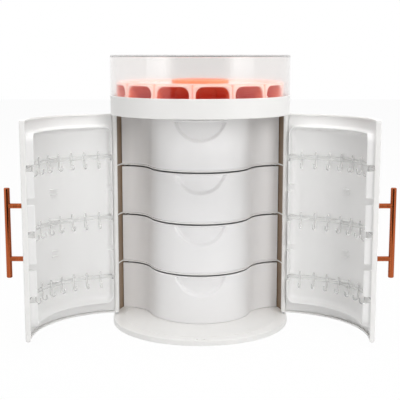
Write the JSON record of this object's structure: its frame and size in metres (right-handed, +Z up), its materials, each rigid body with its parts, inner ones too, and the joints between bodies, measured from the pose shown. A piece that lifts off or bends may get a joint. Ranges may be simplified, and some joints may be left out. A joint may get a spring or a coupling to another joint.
{
  "type": "jewelry cabinet",
  "caption": "Round tabletop jewelry cabinet with curved doors that carry necklace hooks, S-fronted drawers, a turning insert of cups and a clear lift-off cover.",
  "frame": {"origin": "centre of the underside of the foot ring", "axes": "+Z up along the tower's axis, -Y to the front where the doors meet"},
  "size_m": [0.489, 0.2505, 0.365],
  "materials": {
    "white_plastic": "gloss",
    "drawer_plastic": "semi gloss",
    "clear_plastic": "clear gloss",
    "coral_plastic": "translucent gloss",
    "rose_gold": "polished rose gold plate",
    "steel": "satin",
    "foot_rubber": "matt"
  },
  "bodies": {
    "cabinet": {"base_plate": "white_plastic", "foot_ring": "foot_rubber", "body_shell": "white_plastic", "shelf_upper": "white_plastic", "shelf_middle": "white_plastic", "shelf_lower": "white_plastic", "top_tray": "white_plastic", "hinge_pins": "steel", "assembly_screws": "steel", "carousel_spindle": "steel"},
    "left_door": {"left_door_shell": "white_plastic", "left_door_liner": "white_plastic", "left_hook_bar_top": "clear_plastic", "left_hook_bar_middle": "clear_plastic", "left_hook_bar_bottom": "clear_plastic", "left_handle_bar": "rose_gold", "left_handle_posts": "rose_gold", "left_handle_screws": "steel"},
    "right_door": {"right_door_shell": "white_plastic", "right_door_liner": "white_plastic", "right_hook_bar_top": "clear_plastic", "right_hook_bar_middle": "clear_plastic", "right_hook_bar_bottom": "clear_plastic", "right_handle_bar": "rose_gold", "right_handle_posts": "rose_gold", "right_handle_screws": "steel"},
    "first_drawer": {"drawer_1": "drawer_plastic"},
    "second_drawer": {"drawer_2": "drawer_plastic"},
    "third_drawer": {"drawer_3": "drawer_plastic"},
    "fourth_drawer": {"drawer_4": "drawer_plastic"},
    "carousel": {"carousel_floor": "coral_plastic", "carousel_bowl": "coral_plastic", "carousel_hub": "coral_plastic", "carousel_deck": "coral_plastic", "carousel_cup_01": "coral_plastic", "carousel_cup_02": "coral_plastic", "carousel_cup_03": "coral_plastic", "carousel_cup_04": "coral_plastic", "carousel_cup_05": "coral_plastic", "carousel_cup_06": "coral_plastic", "carousel_cup_07": "coral_plastic", "carousel_cup_08": "coral_plastic", "carousel_cup_09": "coral_plastic", "carousel_cup_10": "coral_plastic", "carousel_cup_11": "coral_plastic", "carousel_cup_12": "coral_plastic", "carousel_cup_13": "coral_plastic", "carousel_cup_14": "coral_plastic"},
    "cover": {"clear_cover": "clear_plastic"}
  },
  "joints": [
    {"name": "left_door_hinge", "type": "hinge", "parent": "cabinet", "child": "left_door", "pos_m": [-0.1162, 0.0048, 0.1482], "axis": [0, 0, -1], "range_deg": [-80, 15]},
    {"name": "right_door_hinge", "type": "hinge", "parent": "cabinet", "child": "right_door", "pos_m": [0.1162, 0.0048, 0.1482], "axis": [0, 0, 1], "range_deg": [-80, 15]},
    {"name": "first_drawer_slide", "type": "slide", "parent": "cabinet", "child": "first_drawer", "axis": [0, -1, 0], "range_m": [0, 0.09]},
    {"name": "second_drawer_slide", "type": "slide", "parent": "cabinet", "child": "second_drawer", "axis": [0, -1, 0], "range_m": [0, 0.09]},
    {"name": "third_drawer_slide", "type": "slide", "parent": "cabinet", "child": "third_drawer", "axis": [0, -1, 0], "range_m": [0, 0.09]},
    {"name": "fourth_drawer_slide", "type": "slide", "parent": "cabinet", "child": "fourth_drawer", "axis": [0, -1, 0], "range_m": [0, 0.09]},
    {"name": "carousel_spin", "type": "hinge", "parent": "cabinet", "child": "carousel", "pos_m": [0, 0, 0.294], "axis": [0, 0, 1], "continuous": true},
    {"name": "cover_lift", "type": "slide", "parent": "cabinet", "child": "cover", "axis": [0, 0, 1], "range_m": [0, 0.08]}
  ]
}
